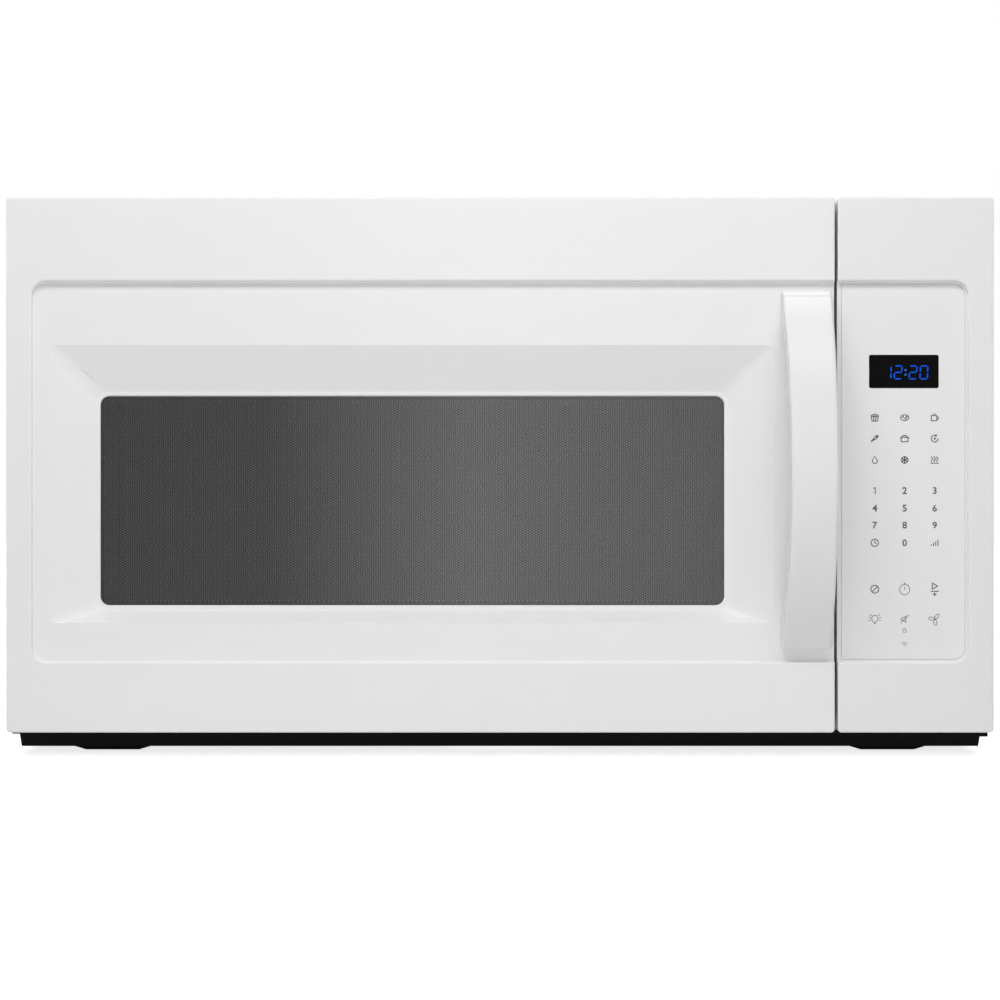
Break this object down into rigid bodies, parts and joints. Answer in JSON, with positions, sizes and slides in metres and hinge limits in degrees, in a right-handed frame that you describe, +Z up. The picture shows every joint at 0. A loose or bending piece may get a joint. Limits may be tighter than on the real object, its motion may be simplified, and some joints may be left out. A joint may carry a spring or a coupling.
{
  "type": "over the range microwave oven",
  "caption": "White over-the-range microwave oven with a bowed door handle, framed window, keypad panel and a cooktop hood with blower and grease filters.",
  "frame": {"origin": "on the rear wall face, on the oven's centre line, at the height of the wall plate's support tabs", "axes": "+Z up; +Y into the wall, so the door faces -Y; +X to the right as seen by the cook"},
  "size_m": [0.76, 0.458, 0.433],
  "materials": {
    "white_moulding": "smooth gloss moulding",
    "handle_white": "smooth gloss moulding",
    "bezel_white": "smooth gloss moulding",
    "cover_paint": "baked white paint on folded sheet steel",
    "front_paint": "baked light paint on sheet steel",
    "cavity_enamel": "light grey enamel paint",
    "base_paint": "black baked paint",
    "base_pad_black": "matte",
    "zinc_sheet": "galvanised sheet",
    "hinge_steel": "black painted steel",
    "copper_winding": "enamelled copper wire, stored as brass",
    "core_steel": "laminated steel",
    "fin_aluminium": "bare aluminium",
    "filter_aluminium": "layered aluminium mesh in a folded frame",
    "mica": "mica sheet",
    "motor_can": "drawn steel can",
    "blower_plastic": "moulded",
    "shaft_steel": "ground shaft",
    "grille_plastic": "moulded",
    "carbon": "charcoal granules in a plastic frame",
    "lamp_holder": "moulded lamp holder with its bulb",
    "lens_glass": "frosted",
    "board_plastic": "moulded",
    "switch_black": "moulded",
    "overlay_film": "printed film",
    "display_black": "dark tinted window",
    "display_module": "moulded",
    "circuit_board": "laminate with parts",
    "bush_nylon": "moulded",
    "screw_steel": "zinc plated",
    "window_glass": "tinted glass",
    "screen_black": "black paint on perforated steel",
    "frame_grey": "dark grey painted pressing",
    "film_clear": "clear plastic film",
    "choke_grey": "moulded",
    "spring_steel": "drawn wire",
    "latch_plastic": "moulded",
    "tray_glass": "pressed glass",
    "coupler_plastic": "moulded",
    "ring_plastic": "moulded"
  },
  "bodies": {
    "cabinet": {"cabinet_wrap": "cover_paint", "rear_panel": "zinc_sheet", "base_plate": "base_paint", "base_pads": "base_pad_black", "front_plate": "front_paint", "oven_cavity": "cavity_enamel", "component_shelf": "zinc_sheet", "waveguide": "zinc_sheet", "waveguide_cover": "mica", "magnetron_yoke": "zinc_sheet", "magnetron_fins": "fin_aluminium", "transformer_core": "core_steel", "transformer_windings": "copper_winding", "hv_capacitor": "fin_aluminium", "fan_bracket": "zinc_sheet", "fan_motor": "motor_can", "turntable_motor": "motor_can", "vent_motor": "motor_can", "blower_bracket": "zinc_sheet", "blower_housings": "zinc_sheet", "vent_grille": "grille_plastic", "charcoal_filter": "carbon", "cavity_lamp": "lamp_holder", "cooktop_lamp": "lamp_holder", "cooktop_lens": "lens_glass", "latch_board": "board_plastic", "interlock_switches": "switch_black", "hinge_upper": "hinge_steel", "hinge_lower": "hinge_steel", "control_bezel": "bezel_white", "keypad_overlay": "overlay_film", "display_window": "display_black", "display_module": "display_module", "control_board": "circuit_board", "cord_bushing": "switch_black", "mounting_nuts": "screw_steel", "cabinet_screws": "screw_steel"},
    "door": {"door_moulding": "white_moulding", "door_glass": "window_glass", "door_inner_frame": "frame_grey", "door_screen": "screen_black", "door_film": "film_clear", "choke_cover": "choke_grey", "handle": "handle_white", "handle_screws": "screw_steel", "hinge_bushes": "bush_nylon", "door_screws": "screw_steel", "latch_spring": "spring_steel"},
    "latch": {"latch_hooks": "latch_plastic"},
    "turntable": {"glass_tray": "tray_glass", "drive_coupler": "coupler_plastic"},
    "roller_ring": {"roller_ring": "ring_plastic"},
    "wheel_1": {"roller_wheel_1": "ring_plastic"},
    "wheel_2": {"roller_wheel_2": "ring_plastic"},
    "wheel_3": {"roller_wheel_3": "ring_plastic"},
    "vent_rotor": {"blower_wheels": "blower_plastic", "blower_shaft": "shaft_steel"},
    "fan_rotor": {"fan_blades": "blower_plastic"},
    "filter_left": {"grease_filter_left": "filter_aluminium"},
    "filter_right": {"grease_filter_right": "filter_aluminium"}
  },
  "joints": [
    {"name": "door_hinge", "type": "hinge", "parent": "cabinet", "child": "door", "pos_m": [-0.371, -0.38, 0.197], "axis": [0, 0, -1], "range_deg": [0, 110]},
    {"name": "latch_slide", "type": "slide", "parent": "door", "child": "latch", "axis": [0, 0, 1], "range_m": [0, 0.004], "stiffness_N_per_m": 200, "springref_m": -0.005, "deforming": ["latch_spring"]},
    {"name": "tray_spin", "type": "hinge", "parent": "cabinet", "child": "turntable", "pos_m": [-0.0775, -0.189, 0.055], "axis": [0, 0, 1], "continuous": true},
    {"name": "ring_spin", "type": "hinge", "parent": "cabinet", "child": "roller_ring", "pos_m": [-0.0775, -0.189, 0.048], "axis": [0, 0, 1], "continuous": true},
    {"name": "wheel_spin_1", "type": "hinge", "parent": "roller_ring", "child": "wheel_1", "pos_m": [0.03, -0.189, 0.048], "axis": [1, 0, 0], "continuous": true},
    {"name": "wheel_spin_2", "type": "hinge", "parent": "roller_ring", "child": "wheel_2", "pos_m": [-0.13125, -0.0959, 0.048], "axis": [-0.5, 0.866, 0], "continuous": true},
    {"name": "wheel_spin_3", "type": "hinge", "parent": "roller_ring", "child": "wheel_3", "pos_m": [-0.13125, -0.2821, 0.048], "axis": [-0.5, -0.866, 0], "continuous": true},
    {"name": "vent_spin", "type": "hinge", "parent": "cabinet", "child": "vent_rotor", "pos_m": [0, -0.092, 0.3364], "axis": [1, 0, 0], "continuous": true},
    {"name": "fan_spin", "type": "hinge", "parent": "cabinet", "child": "fan_rotor", "pos_m": [0.272, -0.0732, 0.224], "axis": [0, -1, 0], "continuous": true},
    {"name": "filter_left_slide", "type": "slide", "parent": "cabinet", "child": "filter_left", "axis": [0, 1, 0], "range_m": [0, 0.012]},
    {"name": "filter_right_slide", "type": "slide", "parent": "cabinet", "child": "filter_right", "axis": [0, 1, 0], "range_m": [0, 0.012]}
  ],
  "couplings": [
    {"joint": "ring_spin", "follows": "tray_spin", "ratio": 0.5},
    {"joint": "wheel_spin_1", "follows": "tray_spin", "ratio": -7.6786},
    {"joint": "wheel_spin_2", "follows": "tray_spin", "ratio": -7.6786},
    {"joint": "wheel_spin_3", "follows": "tray_spin", "ratio": -7.6786}
  ]
}
